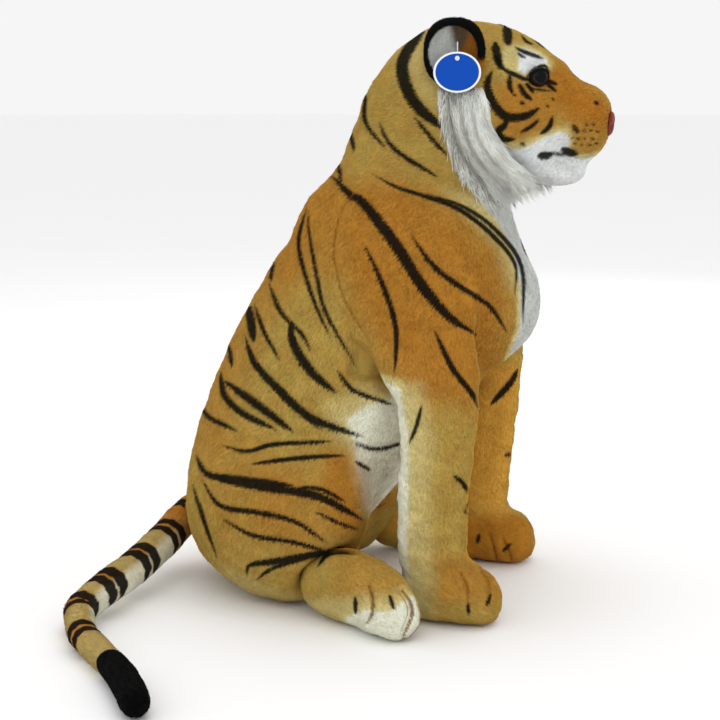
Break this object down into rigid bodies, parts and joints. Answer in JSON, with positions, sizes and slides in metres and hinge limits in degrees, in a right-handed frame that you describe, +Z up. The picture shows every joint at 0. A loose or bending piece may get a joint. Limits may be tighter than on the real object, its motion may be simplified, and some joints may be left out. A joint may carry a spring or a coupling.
{
  "type": "plush tiger",
  "caption": "Sitting stuffed tiger with striped short pile, folded hind legs, straight front legs, a ringed tail and an oval hang tag on one ear.",
  "frame": {"origin": "on the floor under the middle of the rump, on the torso's flat underside", "axes": "+X the way the tiger faces, +Y its left side, +Z up"},
  "size_m": [0.572, 0.7646, 0.6748],
  "materials": {
    "torso": "short tan pile with black stripes",
    "chest_bib": "short white pile",
    "right_thigh": "short tan pile with black stripes",
    "left_thigh": "short tan pile with black stripes",
    "neck": "short tan pile with black stripes",
    "head": "short orange-tan pile with airbrushed face marks",
    "muzzle": "short white and tan pile",
    "chin": "short white pile",
    "nose": "moulded dark red pad",
    "right_eye": "polished dome with a dark brown iris",
    "left_eye": "polished dome with a dark brown iris",
    "right_eye_washer": "moulded washer",
    "left_eye_washer": "moulded washer",
    "right_ruff": "long white pile",
    "left_ruff": "long white pile",
    "right_ear": "short black pile",
    "right_ear_lining": "pale grey pile, darker in the dish",
    "tag_tack": "clear moulded thread",
    "left_ear": "short black pile",
    "left_ear_lining": "pale grey pile, darker in the dish",
    "hang_tag": "coated card, blue with a white border",
    "right_front_leg": "short orange pile with black stripes",
    "right_front_paw": "short orange and white pile",
    "left_front_leg": "short orange pile with black stripes",
    "left_front_paw": "short orange and white pile",
    "right_hind_foot": "short orange and white pile with stitched toes",
    "left_hind_foot": "short orange and white pile with stitched toes",
    "tail_root": "short tan pile with black rings",
    "tail_middle": "short tan pile with black rings",
    "tail_end": "short tan pile with black rings",
    "tail_tip": "short black pile"
  },
  "bodies": {
    "body": {"torso": "torso", "chest_bib": "chest_bib", "right_thigh": "right_thigh", "left_thigh": "left_thigh"},
    "neck": {"neck": "neck"},
    "head": {"head": "head", "muzzle": "muzzle", "chin": "chin", "nose": "nose", "right_eye": "right_eye", "left_eye": "left_eye", "right_eye_washer": "right_eye_washer", "left_eye_washer": "left_eye_washer", "right_ruff": "right_ruff", "left_ruff": "left_ruff"},
    "right_ear": {"right_ear": "right_ear", "right_ear_lining": "right_ear_lining", "tag_tack": "tag_tack"},
    "left_ear": {"left_ear": "left_ear", "left_ear_lining": "left_ear_lining"},
    "hang_tag": {"hang_tag": "hang_tag"},
    "right_front_leg": {"right_front_leg": "right_front_leg", "right_front_paw": "right_front_paw"},
    "left_front_leg": {"left_front_leg": "left_front_leg", "left_front_paw": "left_front_paw"},
    "right_hind_foot": {"right_hind_foot": "right_hind_foot"},
    "left_hind_foot": {"left_hind_foot": "left_hind_foot"},
    "tail_root": {"tail_root": "tail_root"},
    "tail_middle": {"tail_middle": "tail_middle"},
    "tail_end": {"tail_end": "tail_end", "tail_tip": "tail_tip"}
  },
  "joints": [
    {"name": "neck_nod", "type": "hinge", "parent": "body", "child": "neck", "pos_m": [0.15752, 0, 0.3945], "axis": [0, 1, 0], "range_deg": [-8, 8], "stiffness_Nm_per_rad": 12},
    {"name": "head_turn", "type": "hinge", "parent": "neck", "child": "head", "pos_m": [0.17502, 0, 0.555], "axis": [0, 0, 1], "range_deg": [-15, 15], "stiffness_Nm_per_rad": 3},
    {"name": "right_ear_fold", "type": "hinge", "parent": "head", "child": "right_ear", "pos_m": [0.2324, -0.10506, 0.60705], "axis": [-0.9823, -0.1874, 0], "range_deg": [-15, 8], "stiffness_Nm_per_rad": 0.01},
    {"name": "left_ear_fold", "type": "hinge", "parent": "head", "child": "left_ear", "pos_m": [0.2324, 0.10506, 0.60705], "axis": [0.9823, -0.1874, 0], "range_deg": [-15, 8], "stiffness_Nm_per_rad": 0.01},
    {"name": "tag_swing", "type": "hinge", "parent": "right_ear", "child": "hang_tag", "pos_m": [0.24238, -0.12319, 0.63017], "axis": [-0.1874, 0.9823, 0], "range_deg": [-25, 25]},
    {"name": "right_leg_swing", "type": "hinge", "parent": "body", "child": "right_front_leg", "pos_m": [0.188, -0.11204, 0.375], "axis": [0, -1, 0], "range_deg": [-2, 15], "stiffness_Nm_per_rad": 2},
    {"name": "left_leg_swing", "type": "hinge", "parent": "body", "child": "left_front_leg", "pos_m": [0.188, 0.11204, 0.375], "axis": [0, -1, 0], "range_deg": [-2, 15], "stiffness_Nm_per_rad": 2},
    {"name": "right_foot_flex", "type": "hinge", "parent": "body", "child": "right_hind_foot", "pos_m": [0.10991, -0.14972, 0.04], "axis": [-0.5878, -0.809, 0], "range_deg": [-18, 4], "stiffness_Nm_per_rad": 0.5},
    {"name": "left_foot_flex", "type": "hinge", "parent": "body", "child": "left_hind_foot", "pos_m": [0.10991, 0.14972, 0.04], "axis": [0.5878, -0.809, 0], "range_deg": [-18, 4], "stiffness_Nm_per_rad": 0.5},
    {"name": "tail_swing", "type": "hinge", "parent": "body", "child": "tail_root", "pos_m": [-0.1224, 0.01214, 0.06999], "axis": [0, 0, 1], "range_deg": [-30, 4], "stiffness_Nm_per_rad": 0.5},
    {"name": "tail_bend", "type": "hinge", "parent": "tail_root", "child": "tail_middle", "pos_m": [-0.14053, -0.15, 0.03447], "axis": [0, 0, 1], "range_deg": [-25, 25], "stiffness_Nm_per_rad": 0.3},
    {"name": "tail_curl", "type": "hinge", "parent": "tail_middle", "child": "tail_end", "pos_m": [-0.11722, -0.337, 0.01648], "axis": [0, 0, 1], "range_deg": [-25, 25], "stiffness_Nm_per_rad": 0.2}
  ]
}
